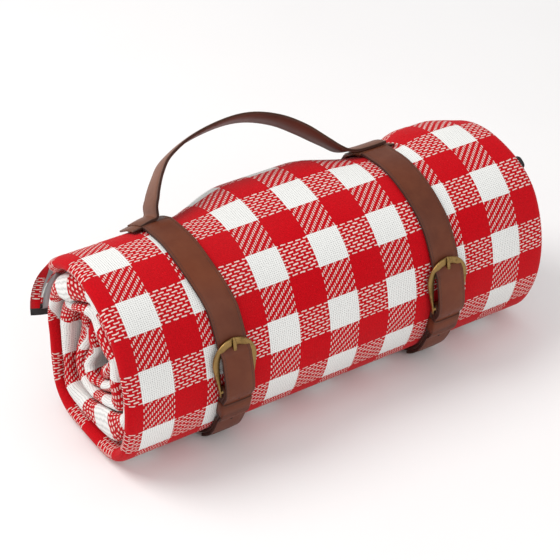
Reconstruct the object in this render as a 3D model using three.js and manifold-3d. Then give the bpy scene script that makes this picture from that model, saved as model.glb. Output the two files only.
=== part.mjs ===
// A picnic blanket, rolled up and held in a leather carrier: two buckled straps joined by a handle.
// Units are millimetres. X runs along the roll, the buckles face -Y and +Z is up. The origin is the
// middle of the carrier's box, on the surface that it stands on.
import * as THREE from 'three';
import Module from 'manifold-3d';
import { mergeVertices } from 'three/addons/utils/BufferGeometryUtils.js';

const wasm = await Module();
wasm.setup();

// Driving dimensions: the rolled blanket
const rollLength = 424;
const rollWidth = 163;
const rollHeight = 174.5;
const restWidth = 51;
const turnPitch = 14.4;
const rollTurns = 4.8;
const turnShare = 0.84;
const clothThickness = 1.6;
const waddingThickness = 4.4;
const backingThickness = 1.0;
const bindingThickness = 1.6;
const edgeAlong = 420;

// Driving dimensions: the straps
const strapWidth = 28;
const strapSpacing = 217;
const strapsOffset = -5;
const outerPly = 1.5;
const liningPly = 1.0;
const strapEndDrop = 60;
const strapEndLift = 4.6;
const loopEaseStart = 2;
const loopEaseEnd = 14;
const tailEase = 8;
const chapeEase = 12;
const barEaseEnd = 1;
const wrapSetback = 1.5;
const framePass = 8;

// Driving dimensions: the buckles, placed by their distance up the front from the roll's underside
const barAlong = 126;
const barRadius = 1.7;
const frameLength = 51;
const frameHeelReach = 4.5;
const frameLimb = 6;
const frameThickness = 3;
const frameTaper = 2;
const prongRadius = 1.3;
const prongHoleReach = 21;
const prongHoleLength = 17;
const prongHoleDepth = 40;
const prongEyeWall = 1.3;
const prongEyeSink = 0.6;
const prongRestStart = 3;
const eyeSlotLength = 14;
const eyeSlotShift = 4.2;
const barSeat = 1;
const diveStart = 10;
const diveEnd = 28;
const keeperDrop = 20;
const keeperWidth = 15;
const keeperThickness = 1.8;
const chapeLength = 30;

// Driving dimensions: the handle
const handleAlong = 310;
const handleWidth = 27;
const handleRise = 50;
const handleLeanDegrees = 42;
const handlePly = 1.3;
const handleLiningPly = 1.2;
const loopReach = 8;
const loopThickness = 1.4;

// The arch's shape between its feet, as shares of half its span and of its rise. It hangs over to
// the right: steep on the left and gentle on the right.
const archShape = [
  [-0.96, 0.24], [-0.83, 0.5], [-0.66, 0.71], [-0.45, 0.87], [-0.23, 0.97], [0, 1],
  [0.2, 0.93], [0.41, 0.75], [0.61, 0.51], [0.79, 0.3], [0.92, 0.18], [0.985, 0.09],
];

// Clearances
const gap = 0.3;
const plyGap = 0.1;
const sideGap = 0.8;
const pivotGap = 0.5;

// Fineness of the curved stretches
const sectionStep = 5;
const spiralStep = 15;
const roundSegments = 16;
const fineSegments = 3 * roundSegments;
const prongSteps = 20;
const prongSegments = 5;
const eyeSegments = 10;
const weldDistance = 1e-4;

// Values that follow from the ones above
const plyStack = outerPly + plyGap + liningPly;
const standHeight = gap + plyStack;
const loopLift = loopThickness + gap;
const wrapRadius = barRadius + gap;
const barHeight = gap + plyStack + wrapRadius;
const frameInside = strapWidth / 2 + sideGap;
const frameHalf = frameInside + frameLimb;
const keeperAlong = barAlong - keeperDrop;
const strapEndAlong = barAlong - strapEndDrop;
const toeCentre = frameLength - frameHeelReach - frameHalf;
const crossing = toeCentre + Math.sqrt(frameInside ** 2 - (strapWidth / 2) ** 2);
const strapCentres = {
  left: strapsOffset - strapSpacing / 2,
  right: strapsOffset + strapSpacing / 2,
};
const handleRadius = handleWidth / 2;
const loopTop = gap + loopLift + plyStack + gap + loopThickness;
const pivotHeight = loopTop + pivotGap + handleRadius;

// The roll's section is six tangent arcs of 60 degrees each and a flat stretch that it lies on.
const arcAngle = Math.PI / 3;
const arcReach = Math.sin(arcAngle);
const restHalf = restWidth / 2;
const narrowing = (1 - arcReach) * (rollHeight - restHalf / (2 * arcReach));
const lowerRadius = (rollWidth / 2 - restHalf - narrowing) / (2 * arcReach - 1);
const upperRadius = lowerRadius + restHalf / arcReach;
const sideRadius = rollHeight - (lowerRadius + upperRadius) / 2;
const sectionRadii = [lowerRadius, sideRadius, upperRadius, upperRadius, sideRadius, lowerRadius];
const perimeter = restWidth + arcAngle * sectionRadii.reduce((sum, radius) => sum + radius, 0);

function outward(heading) {
  return new THREE.Vector2(-Math.sin(heading), -Math.cos(heading));
}

function forward(heading) {
  return new THREE.Vector2(-Math.cos(heading), Math.sin(heading));
}

// Place and heading on the section, from the middle of the underside, towards the front and up.
function sectionAt(along) {
  let rest = ((along % perimeter) + perimeter) % perimeter;
  const place = new THREE.Vector2(0, 0);
  let heading = 0;
  const start = Math.min(rest, restHalf);
  place.addScaledVector(forward(heading), start);
  rest -= start;
  for (const radius of sectionRadii) {
    const angle = Math.min(rest / radius, arcAngle);
    if (angle <= 0) break;
    place.addScaledVector(outward(heading), -radius);
    heading += angle;
    place.addScaledVector(outward(heading), radius);
    rest -= angle * radius;
  }
  if (rest > 0) place.addScaledVector(forward(heading), rest);
  return { place, heading };
}

// A point of the section's plane, given along the roll's surface and out from it.
function onRoll(along, height) {
  const { place, heading } = sectionAt(along);
  return place.addScaledVector(outward(heading), height);
}

function smoothRise(from, to, value) {
  return THREE.MathUtils.smoothstep(value, Math.min(from, to), Math.max(from, to));
}

function blendHeights(low, high, share) {
  return low + (high - low) * share;
}

// Height of the strap's inner face as it goes up the front, round the back and over the top.
function baseHeight(along) {
  const nearLoop = Math.abs(along - handleAlong);
  const overLoop = 1 - smoothRise(handleRadius + loopEaseStart, handleRadius + loopEaseEnd, nearLoop);
  return gap + loopLift * overLoop;
}

// Height of the strap's buckle end, which lies over its own turned-back tail.
function chapeHeight(along) {
  const overTail = smoothRise(barAlong - chapeLength - tailEase, barAlong - chapeLength, along);
  const overBar = smoothRise(barAlong - chapeEase, barAlong - barEaseEnd, along);
  const tailTop = standHeight + plyGap;
  const laid = blendHeights(gap, tailTop, overTail);
  return blendHeights(laid, barHeight + wrapRadius, overBar);
}

// Height of the strap's free end, under the frame's toe, over its bar and on through the keeper.
function freeHeight(along) {
  const carried = chapeHeight(Math.min(along, barAlong)) + plyStack + gap;
  const dive = smoothRise(barAlong + diveStart, barAlong + diveEnd, along);
  const lift = 1 - smoothRise(strapEndAlong, keeperAlong - keeperWidth, along);
  return blendHeights(carried, gap, dive) + strapEndLift * lift;
}

// The strap's inner face, from its turned-back tail round the bar, the roll and out to its free end.
function strapPath() {
  const points = [];
  const tailHeight = barHeight - wrapRadius;
  for (let along = barAlong - chapeLength; along < barAlong; along += sectionStep / 2) {
    points.push(onRoll(along, tailHeight));
  }
  const { heading } = sectionAt(barAlong);
  const centre = onRoll(barAlong, barHeight);
  for (let step = 0; step <= roundSegments; step += 1) {
    const angle = -Math.PI / 2 + (Math.PI * step) / roundSegments;
    const point = centre.clone();
    point.addScaledVector(forward(heading), wrapRadius * Math.cos(angle));
    point.addScaledVector(outward(heading), wrapRadius * Math.sin(angle));
    points.push(point);
  }
  const under = barAlong - chapeLength - chapeEase;
  for (let along = barAlong - wrapSetback; along > under; along -= sectionStep / 2) {
    points.push(onRoll(along, chapeHeight(along)));
  }
  const pastFrame = barAlong + frameLength + framePass;
  const overTop = pastFrame + gap - perimeter;
  for (let along = under; along > overTop; along -= sectionStep) {
    points.push(onRoll(along, baseHeight(along + perimeter)));
  }
  for (let along = pastFrame; along > strapEndAlong; along -= sectionStep / 2) {
    points.push(onRoll(along, freeHeight(along)));
  }
  points.push(onRoll(strapEndAlong, freeHeight(strapEndAlong)));
  return points;
}

// A closed strip beside a path, from one distance to another on the path's right-hand side.
function stripShape(path, near, far) {
  const sides = path.map((point, index) => {
    const before = path[Math.max(index - 1, 0)];
    const after = path[Math.min(index + 1, path.length - 1)];
    const along = after.clone().sub(before).normalize();
    return new THREE.Vector2(along.y, -along.x);
  });
  const beside = (distance) => (point, index) => point.clone().addScaledVector(sides[index], distance);
  return new THREE.Shape([...path.map(beside(near)), ...path.map(beside(far)).reverse()]);
}

// Shapes drawn in the section's plane are extruded along X, from one place to another.
function alongRoll(shape, from, to) {
  const geometry = new THREE.ExtrudeGeometry(shape, { depth: to - from, bevelEnabled: false });
  const axes = new THREE.Matrix4().makeBasis(
    new THREE.Vector3(0, 1, 0),
    new THREE.Vector3(0, 0, 1),
    new THREE.Vector3(1, 0, 0),
  );
  axes.setPosition(from, 0, 0);
  return geometry.applyMatrix4(axes);
}

// A slab that follows the roll's surface, between two places along it and two heights above it.
function curvedSlab(alongFrom, alongTo, low, high, from, to) {
  const count = Math.max(2, Math.ceil((alongTo - alongFrom) / sectionStep));
  const pitch = (alongTo - alongFrom) / count;
  const stations = Array.from({ length: count + 1 }, (_, index) => alongFrom + pitch * index);
  const inner = stations.map((along) => onRoll(along, low));
  const outer = stations.map((along) => onRoll(along, high));
  return alongRoll(new THREE.Shape([...inner, ...outer.reverse()]), from, to);
}

function toSolid(geometry) {
  const bare = geometry.clone();
  bare.deleteAttribute('normal');
  bare.deleteAttribute('uv');
  const merged = mergeVertices(bare, weldDistance);
  return new wasm.Manifold(new wasm.Mesh({
    numProp: 3,
    vertProperties: new Float32Array(merged.attributes.position.array),
    triVerts: new Uint32Array(merged.index.array),
  }));
}

function toGeometry(solid) {
  const mesh = solid.getMesh();
  const geometry = new THREE.BufferGeometry();
  geometry.setAttribute('position', new THREE.BufferAttribute(mesh.vertProperties, 3));
  geometry.setIndex(new THREE.BufferAttribute(mesh.triVerts, 1));
  geometry.computeVertexNormals();
  return geometry;
}

const finishes = {
  cloth: { color: 0xc8001c, roughness: 0.9, metalness: 0 },
  wadding: { color: 0xe6e4de, roughness: 1, metalness: 0 },
  backing: { color: 0x161616, roughness: 0.5, metalness: 0 },
  leather: { color: 0x704028, roughness: 0.5, metalness: 0 },
  lining: { color: 0x5e2e1e, roughness: 0.65, metalness: 0 },
  brass: { color: 0x8c7346, roughness: 0.35, metalness: 1 },
};

function part(name, geometry, finish) {
  const mesh = new THREE.Mesh(geometry, new THREE.MeshStandardMaterial(finishes[finish]));
  mesh.name = name;
  return mesh;
}

// Depth of the winding: each turn keeps its size until it dips under its own start.
function windingDepth(turned) {
  const turn = Math.floor(turned);
  return turnPitch * (turn + smoothRise(turnShare, 1, turned - turn));
}

// A point of the winding: the section shrinks towards its middle with each turn and each ply.
function woundPoint(turned, inset) {
  const middle = new THREE.Vector2(0, rollHeight / 2);
  const size = Math.min(rollWidth, rollHeight) / 2;
  const scale = 1 - (inset + windingDepth(turned)) / size;
  const place = onRoll(edgeAlong - turned * perimeter, 0);
  return place.sub(middle).multiplyScalar(scale).add(middle);
}

// One layer of the blanket, from one turn to another, between two depths below the outermost face.
function woundLayer(firstTurn, lastTurn, outer, inner) {
  const perTurn = Math.ceil(perimeter / spiralStep);
  const steps = Math.max(1, Math.round((lastTurn - firstTurn) * perTurn));
  const pitch = (lastTurn - firstTurn) / steps;
  const turns = Array.from({ length: steps + 1 }, (_, step) => firstTurn + pitch * step);
  const outerFace = turns.map((turned) => woundPoint(turned, outer));
  const innerFace = turns.map((turned) => woundPoint(turned, inner));
  const shape = new THREE.Shape([...outerFace, ...innerFace.reverse()]);
  return alongRoll(shape, -rollLength / 2, rollLength / 2);
}

function blanketParts() {
  const waddingDepth = clothThickness + gap;
  const backingDepth = waddingDepth + waddingThickness + gap;
  const foldDepth = backingDepth + backingThickness + gap;
  const bindingStart = -(gap + bindingThickness) / perimeter;
  const bindingEnd = -gap / perimeter;
  const layer = (depth, inner) => woundLayer(0, rollTurns, depth, inner);
  const binding = woundLayer(bindingStart, bindingEnd, 0, turnPitch - bindingThickness);
  return [
    part('blanket_cloth', layer(0, clothThickness), 'cloth'),
    part('blanket_wadding', layer(waddingDepth, waddingDepth + waddingThickness), 'wadding'),
    part('blanket_backing', layer(backingDepth, backingDepth + backingThickness), 'backing'),
    part('blanket_inner_fold', layer(foldDepth, turnPitch - gap), 'cloth'),
    part('blanket_binding', binding, 'backing'),
  ];
}

// Axes at a place on the roll: x across, y up along the surface and z out from it.
function surfaceFrame(along, height, across) {
  const { heading } = sectionAt(along);
  const origin = onRoll(along, height);
  const up = forward(heading);
  const out = outward(heading);
  const matrix = new THREE.Matrix4().makeBasis(
    new THREE.Vector3(1, 0, 0),
    new THREE.Vector3(0, up.x, up.y),
    new THREE.Vector3(0, out.x, out.y),
  );
  matrix.setPosition(across, origin.x, origin.y);
  return matrix;
}

// The frame lies in the plane from its bar to where its round toe first crosses the strap's edges.
function frameMatrix(across) {
  const bar = onRoll(barAlong, barHeight);
  const toe = onRoll(barAlong + crossing, standHeight + gap + frameThickness / 2);
  const up = toe.clone().sub(bar).normalize();
  const matrix = new THREE.Matrix4().makeBasis(
    new THREE.Vector3(1, 0, 0),
    new THREE.Vector3(0, up.x, up.y),
    new THREE.Vector3(0, -up.y, up.x),
  );
  matrix.setPosition(across, bar.x, bar.y);
  return matrix;
}

// The strap's two slots for the prong: the hole that it comes out of, and one round its eye.
function prongSlots(across) {
  const width = 2 * (prongRadius + sideGap);
  const hole = new THREE.BoxGeometry(width, prongHoleLength, prongHoleDepth);
  hole.applyMatrix4(surfaceFrame(barAlong + prongHoleReach, 0, across));
  const eye = new THREE.BoxGeometry(width, eyeSlotLength, 2 * (wrapRadius + plyStack + plyGap));
  eye.translate(0, eyeSlotShift, 0);
  eye.applyMatrix4(surfaceFrame(barAlong, barHeight, across));
  return toSolid(hole).add(toSolid(eye));
}

function strapParts(side) {
  const across = strapCentres[side];
  const from = across - strapWidth / 2;
  const to = across + strapWidth / 2;
  const path = strapPath();
  const slots = prongSlots(across);
  const ply = (near, far) => {
    const solid = toSolid(alongRoll(stripShape(path, near, far), from, to));
    return toGeometry(solid.subtract(slots));
  };
  return [
    part(`strap_lining_${side}`, ply(0, liningPly), 'lining'),
    part(`strap_${side}`, ply(liningPly + plyGap, plyStack), 'leather'),
  ];
}

// A horseshoe of flat bar: a round toe, two limbs that draw in towards the heel, and the heel bar.
function buckleFrame(side) {
  const heel = -frameHeelReach;
  const outline = new THREE.Shape();
  outline.moveTo(frameHalf - frameTaper, heel);
  outline.lineTo(frameHalf, toeCentre);
  outline.absarc(0, toeCentre, frameHalf, 0, Math.PI, false);
  outline.lineTo(-frameHalf + frameTaper, heel);
  outline.lineTo(-frameInside, heel);
  outline.lineTo(-frameInside, toeCentre);
  outline.absarc(0, toeCentre, frameInside, Math.PI, 0, true);
  outline.lineTo(frameInside, heel);
  const plate = new THREE.ExtrudeGeometry(outline, {
    depth: frameThickness,
    bevelEnabled: false,
    curveSegments: roundSegments,
  });
  plate.translate(0, 0, -frameThickness / 2);
  const bar = new THREE.CylinderGeometry(barRadius, barRadius, 2 * (frameInside + barSeat), roundSegments);
  bar.rotateZ(Math.PI / 2);
  const geometry = toGeometry(toSolid(plate).add(toSolid(bar)));
  return part(`buckle_frame_${side}`, geometry.applyMatrix4(frameMatrix(strapCentres[side])), 'brass');
}

// The prong: an eye round the bar and a tongue that runs under the strap and up over the toe.
function buckleProng(side) {
  const toeInner = frameLength - frameHeelReach - frameLimb;
  const eyeInner = barRadius + gap / 2;
  const eyeOuter = eyeInner + prongEyeWall;
  const rest = frameThickness / 2 + gap / 2 + prongRadius;
  const line = new THREE.CatmullRomCurve3([
    new THREE.Vector3(0, eyeOuter - prongEyeSink, 0),
    new THREE.Vector3(0, toeInner - prongRestStart, rest),
    new THREE.Vector3(0, toeInner + frameLimb, rest),
  ]);
  const section = new THREE.Shape();
  section.absarc(0, 0, prongRadius, 0, 2 * Math.PI, false);
  const tongue = new THREE.ExtrudeGeometry(section, {
    steps: prongSteps,
    extrudePath: line,
    curveSegments: prongSegments,
  });
  const ring = new THREE.Shape();
  ring.absarc(0, 0, eyeOuter, 0, 2 * Math.PI, false);
  const bore = new THREE.Path();
  bore.absarc(0, 0, eyeInner, 0, 2 * Math.PI, true);
  ring.holes.push(bore);
  const eye = new THREE.ExtrudeGeometry(ring, {
    depth: 2 * prongRadius,
    bevelEnabled: false,
    curveSegments: eyeSegments,
  });
  eye.translate(0, 0, -prongRadius);
  eye.rotateY(Math.PI / 2);
  const geometry = toGeometry(toSolid(tongue).add(toSolid(eye)));
  return part(`buckle_prong_${side}`, geometry.applyMatrix4(frameMatrix(strapCentres[side])), 'brass');
}

// The keeper: a leather ring sewn round the strap's buckle end, which the free end slides through.
function keeper(side) {
  const across = strapCentres[side];
  const low = gap;
  const high = standHeight + 2 * (plyStack + gap) + gap + keeperThickness;
  const half = strapWidth / 2 + gap + keeperThickness;
  const from = keeperAlong - keeperWidth / 2;
  const to = keeperAlong + keeperWidth / 2;
  const outer = toSolid(curvedSlab(from, to, low, high, across - half, across + half));
  const inside = toSolid(curvedSlab(
    from - sectionStep,
    to + sectionStep,
    low - keeperThickness,
    high - keeperThickness,
    across - half + keeperThickness,
    across + half - keeperThickness,
  ));
  return part(`keeper_${side}`, toGeometry(outer.subtract(inside)), 'leather');
}

// The handle's end: a loop that the strap passes through, with the upright that the handle hinges on.
function handleLoop(side) {
  const across = strapCentres[side];
  const half = strapWidth / 2 + sideGap + loopThickness;
  const outerSide = side === 'left' ? -loopReach : loopReach;
  const from = across - half + Math.min(outerSide, 0);
  const to = across + half + Math.max(outerSide, 0);
  const alongFrom = handleAlong - handleRadius;
  const alongTo = handleAlong + handleRadius;
  const outer = toSolid(curvedSlab(alongFrom, alongTo, gap, loopTop, from, to));
  const inside = toSolid(curvedSlab(
    alongFrom - sectionStep,
    alongTo + sectionStep,
    gap + loopThickness,
    loopTop - loopThickness,
    from + loopThickness,
    to - loopThickness,
  ));
  const plate = new THREE.Shape();
  plate.moveTo(-handleRadius, loopTop - pivotHeight - loopThickness);
  plate.lineTo(handleRadius, loopTop - pivotHeight - loopThickness);
  plate.lineTo(handleRadius, 0);
  plate.absarc(0, 0, handleRadius, 0, Math.PI, false);
  const thickness = handlePly + handleLiningPly;
  const upright = new THREE.ExtrudeGeometry(plate, {
    depth: thickness,
    bevelEnabled: false,
    curveSegments: roundSegments,
  });
  const { heading } = sectionAt(handleAlong);
  const along = forward(heading);
  const out = outward(heading);
  const pivot = onRoll(handleAlong, pivotHeight);
  const clear = (thickness + plyGap) / 2 + gap;
  const start = side === 'left' ? across - clear - thickness : across + clear;
  const axes = new THREE.Matrix4().makeBasis(
    new THREE.Vector3(0, along.x, along.y),
    new THREE.Vector3(0, out.x, out.y),
    new THREE.Vector3(1, 0, 0),
  );
  axes.setPosition(start, pivot.x, pivot.y);
  upright.applyMatrix4(axes);
  const geometry = toGeometry(outer.subtract(inside).add(toSolid(upright)));
  return part(`handle_loop_${side}`, geometry, 'leather');
}

// The handle's arch in its own plane, from the left foot to the right one.
function archPath() {
  const span = strapSpacing / 2;
  const shoulders = archShape.map(([across, rise]) => new THREE.Vector2(across * span, rise * handleRise));
  const feet = [new THREE.Vector2(-span, 0), new THREE.Vector2(span, 0)];
  const arch = new THREE.SplineCurve([feet[0], ...shoulders, feet[1]]).getSpacedPoints(fineSegments);
  const below = (foot) => new THREE.Vector2(foot.x, -handleRadius);
  return [below(feet[0]), ...arch, below(feet[1])];
}

function handlePlane() {
  const pivot = onRoll(handleAlong, pivotHeight);
  const lean = THREE.MathUtils.degToRad(handleLeanDegrees);
  const matrix = new THREE.Matrix4().makeBasis(
    new THREE.Vector3(1, 0, 0),
    new THREE.Vector3(0, Math.sin(lean), Math.cos(lean)),
    new THREE.Vector3(0, -Math.cos(lean), Math.sin(lean)),
  );
  matrix.setPosition(strapsOffset, pivot.x, pivot.y);
  return matrix;
}

function handleParts() {
  const path = archPath();
  const thickness = handlePly + plyGap + handleLiningPly;
  const reach = strapSpacing + 4 * thickness;
  const above = new THREE.BoxGeometry(reach, 2 * handleRise, handleWidth);
  above.translate(0, handleRise, 0);
  const ends = new THREE.CylinderGeometry(handleRadius, handleRadius, reach, fineSegments);
  ends.rotateZ(Math.PI / 2);
  const room = toSolid(above).add(toSolid(ends));
  const plane = handlePlane();
  const ply = (near, far) => {
    const shape = stripShape(path, near, far);
    const band = new THREE.ExtrudeGeometry(shape, { depth: handleWidth, bevelEnabled: false });
    band.translate(0, 0, -handleRadius);
    return toGeometry(toSolid(band).intersect(room)).applyMatrix4(plane);
  };
  const half = thickness / 2;
  return [
    part('handle_strip', ply(-half, -half + handlePly), 'leather'),
    part('handle_lining', ply(half - handleLiningPly, half), 'lining'),
  ];
}

const carrier = new THREE.Group();
carrier.add(...blanketParts(), ...handleParts());
for (const side of ['left', 'right']) {
  carrier.add(...strapParts(side), buckleFrame(side), buckleProng(side), keeper(side), handleLoop(side));
}

const box = new THREE.Box3().setFromObject(carrier);
const middle = box.getCenter(new THREE.Vector3());
carrier.position.set(-middle.x, -middle.y, -box.min.z);

export default carrier;
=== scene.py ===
# %% [markdown]
# A picnic blanket, rolled up and carried in a leather harness. The working parts come in from the
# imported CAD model, which fixes every size and joint. Everything you see is then modelled round them:
# the folded gingham sheet, the leather straps, the brass buckles and the handle.

# %% Load the frame
import math

import bmesh
import bpy
from mathutils import Matrix, Vector, noise


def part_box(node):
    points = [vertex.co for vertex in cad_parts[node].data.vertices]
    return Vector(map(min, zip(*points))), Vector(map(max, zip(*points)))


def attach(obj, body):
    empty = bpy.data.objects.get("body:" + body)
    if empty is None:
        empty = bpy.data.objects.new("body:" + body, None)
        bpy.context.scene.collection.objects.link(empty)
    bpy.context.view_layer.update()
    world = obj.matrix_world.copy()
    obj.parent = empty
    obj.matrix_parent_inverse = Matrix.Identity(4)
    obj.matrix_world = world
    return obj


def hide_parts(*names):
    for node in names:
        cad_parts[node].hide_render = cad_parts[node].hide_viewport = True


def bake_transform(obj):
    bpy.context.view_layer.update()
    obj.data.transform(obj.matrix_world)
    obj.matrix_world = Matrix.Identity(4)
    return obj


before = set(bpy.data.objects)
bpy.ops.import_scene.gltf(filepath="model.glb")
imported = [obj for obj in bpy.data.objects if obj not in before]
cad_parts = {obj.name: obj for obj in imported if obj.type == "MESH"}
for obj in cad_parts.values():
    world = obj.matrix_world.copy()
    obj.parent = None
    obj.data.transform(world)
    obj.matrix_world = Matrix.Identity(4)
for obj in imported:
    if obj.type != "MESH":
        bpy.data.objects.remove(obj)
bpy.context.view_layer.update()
MM = 0.001

# %% [markdown]
# The roll isn't round: it lies on a flat stretch and its sides are flattened. Its section is six
# tangent arcs of 60 degrees and that flat stretch, as in the CAD model. With one function for it,
# every strap and every turn of cloth is placed by how far along the surface and how far out it is.

# %% The roll's section
CLOTH_LOW, CLOTH_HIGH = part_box("blanket_cloth")
ROLL_HALF = CLOTH_HIGH[0]
ROLL_FLOOR = CLOTH_LOW[2]
ROLL_MIDDLE_Y = (CLOTH_LOW[1] + CLOTH_HIGH[1]) / 2
ROLL_WIDTH = 163 * MM
ROLL_HEIGHT = 174.5 * MM
ROLL_REST = 51 * MM
ARC = math.pi / 3
ARC_REACH = math.sin(ARC)
REST_HALF = ROLL_REST / 2
NARROWING = (1 - ARC_REACH) * (ROLL_HEIGHT - REST_HALF / (2 * ARC_REACH))
LOWER_RADIUS = (ROLL_WIDTH / 2 - REST_HALF - NARROWING) / (2 * ARC_REACH - 1)
UPPER_RADIUS = LOWER_RADIUS + REST_HALF / ARC_REACH
SIDE_RADIUS = ROLL_HEIGHT - (LOWER_RADIUS + UPPER_RADIUS) / 2
SECTION_RADII = (LOWER_RADIUS, SIDE_RADIUS, UPPER_RADIUS, UPPER_RADIUS, SIDE_RADIUS, LOWER_RADIUS)
PERIMETER = ROLL_REST + ARC * sum(SECTION_RADII)


def outward(heading):
    return Vector((0, -math.sin(heading), -math.cos(heading)))


def forward(heading):
    return Vector((0, -math.cos(heading), math.sin(heading)))


def section_at(along):
    rest = along % PERIMETER
    place = Vector((0, ROLL_MIDDLE_Y, ROLL_FLOOR))
    heading = 0.0
    start = min(rest, REST_HALF)
    place += forward(heading) * start
    rest -= start
    for radius in SECTION_RADII:
        angle = min(rest / radius, ARC)
        if angle <= 0:
            break
        place -= outward(heading) * radius
        heading += angle
        place += outward(heading) * radius
        rest -= angle * radius
    if rest > 0:
        place += forward(heading) * rest
    return place, heading


def on_roll(across, along, height):
    place, heading = section_at(along)
    point = place + outward(heading) * height
    point.x = across
    return point


def smooth(low, high, value):
    share = min(max((value - low) / (high - low), 0.0), 1.0)
    return share * share * (3 - 2 * share)


def mix(low, high, share):
    return low + (high - low) * share


print("roll", round(2 * ROLL_HALF, 4), "m long and", round(PERIMETER, 4), "m round")

# %% [markdown]
# The camera comes first. It stands in front of the roll's left end and a little above it, with a long
# lens, so that the roll hardly tapers. It is aimed a little past the middle of the roll.

# %% Camera
CAMERA_AZIMUTH = math.radians(-32.83)
CAMERA_ELEVATION = math.radians(34.49)
CAMERA_DISTANCE = 1.632
CAMERA_LENS = 115.7
CAMERA_AIM = Vector((0.0107, 0.0423, 0.0615))


def make_camera():
    right = Vector((math.cos(CAMERA_AZIMUTH), math.sin(CAMERA_AZIMUTH), 0))
    level = Vector((math.sin(CAMERA_AZIMUTH), -math.cos(CAMERA_AZIMUTH), 0))
    back = level * math.cos(CAMERA_ELEVATION) + Vector((0, 0, math.sin(CAMERA_ELEVATION)))
    up = back.cross(right)
    data = bpy.data.cameras.new("camera")
    data.lens = CAMERA_LENS
    camera = bpy.data.objects.new("camera", data)
    bpy.context.scene.collection.objects.link(camera)
    turn = Matrix((right, up, back)).transposed().to_4x4()
    camera.matrix_world = Matrix.Translation(CAMERA_AIM + back * CAMERA_DISTANCE) @ turn
    bpy.context.scene.camera = camera
    return camera


camera = make_camera()
print("camera at", [round(value, 3) for value in camera.matrix_world.translation])

# %% [markdown]
# A material here is a small recipe of nodes. Writing each one link by link would hide the idea, so a
# few helpers come first: one adds a node, one does arithmetic, and one reads a place on the surface.

# %% Helpers for recipes of nodes
def srgb(red, green, blue):
    def linear(value):
        value /= 255
        return value / 12.92 if value <= 0.04045 else ((value + 0.055) / 1.055) ** 2.4
    return (linear(red), linear(green), linear(blue), 1.0)


class Recipe:
    """One material and the nodes in it."""

    def __init__(self, name):
        self.material = bpy.data.materials.new(name)
        self.material.use_nodes = True
        self.nodes = self.material.node_tree.nodes
        self.links = self.material.node_tree.links
        self.shader = self.nodes["Principled BSDF"]

    def feed(self, socket, value):
        if isinstance(value, bpy.types.NodeSocket):
            self.links.new(value, socket)
        else:
            socket.default_value = value

    def node(self, kind, inputs=(), **settings):
        node = self.nodes.new(kind)
        for key, value in settings.items():
            setattr(node, key, value)
        for key, value in dict(inputs).items():
            self.feed(node.inputs[key], value)
        return node

    def math(self, operation, *values, clamp=False):
        node = self.node("ShaderNodeMath", operation=operation, use_clamp=clamp)
        for index, value in enumerate(values):
            self.feed(node.inputs[index], value)
        return node.outputs[0]

    def colours(self, share, low, high, blend="MIX"):
        node = self.node("ShaderNodeMix", data_type="RGBA", blend_type=blend)
        for index, value in ((0, share), (6, low), (7, high)):
            self.feed(node.inputs[index], value)
        return node.outputs[2]

    def surface(self):
        """The piece's own UV map, in metres: across and along."""
        split = self.node("ShaderNodeSeparateXYZ", {0: self.node("ShaderNodeTexCoord").outputs["UV"]})
        return split.outputs[0], split.outputs[1]

    def place(self):
        return self.node("ShaderNodeTexCoord").outputs["Object"]

    def noise(self, where, scale, detail=3.0, roughness=0.5):
        inputs = {"Vector": where, "Scale": scale, "Detail": detail, "Roughness": roughness}
        return self.node("ShaderNodeTexNoise", inputs).outputs[0]

    def bump(self, height, distance, strength=1.0, under=None):
        inputs = {"Height": height, "Distance": distance, "Strength": strength}
        if under is not None:
            inputs["Normal"] = under
        return self.node("ShaderNodeBump", inputs).outputs[0]

    def ramp(self, value, low, high):
        inputs = {"Value": value, "From Min": low, "From Max": high}
        return self.node("ShaderNodeMapRange", inputs).outputs[0]

    def finish(self, **sockets):
        for key, value in sockets.items():
            self.feed(self.shader.inputs[key.replace("_", " ")], value)
        return self.material


# %% [markdown]
# Gingham is woven from two colours of yarn in broad stripes, both ways. Painting the stripes and
# picking, yarn by yarn, which one lies on top gives all four at once.

# %% Gingham
CHECK_ACROSS = 30.0 * MM
CHECK_ALONG = 29.5 * MM
CHECK_ACROSS_START = -46.5 * MM
CHECK_ALONG_START = 228.35 * MM
WARPS = 16
WEFTS = 18
RIBS = 11
YARN_LIES_OVER = 1.9
RED_YARN = srgb(202, 0, 18)
DEEP_RED_YARN = srgb(180, 0, 14)
WHITE_YARN = srgb(238, 238, 235)
CREAM_YARN = srgb(236, 214, 206)
# SHADOW_YARN is painted shade: the dark red between the yarns.
SHADOW_YARN = srgb(112, 6, 12)


def twill(recipe, yarn, crossing):
    """1 where the yarn lies over: two crossings over and two under, one step on in each yarn."""
    step = recipe.math("FLOORED_MODULO", recipe.math("ADD", crossing, recipe.math("FLOOR", yarn)), 4.0)
    return recipe.math("LESS_THAN", step, YARN_LIES_OVER)


def roundness(recipe, yarn, width):
    """1 along the crown of a yarn, falling to 0 at its sides."""
    side = recipe.math("ABSOLUTE", recipe.math("SUBTRACT", recipe.math("FRACT", yarn), 0.5))
    return recipe.math("SUBTRACT", 1.0, recipe.math("POWER", recipe.math("DIVIDE", side, width), 3.0), clamp=True)


def either(recipe, choice, first, second):
    """first where choice is 1 and second where it is 0."""
    other = recipe.math("MULTIPLY", recipe.math("SUBTRACT", 1.0, choice), second)
    return recipe.math("MULTIPLY_ADD", choice, first, other)


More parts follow.
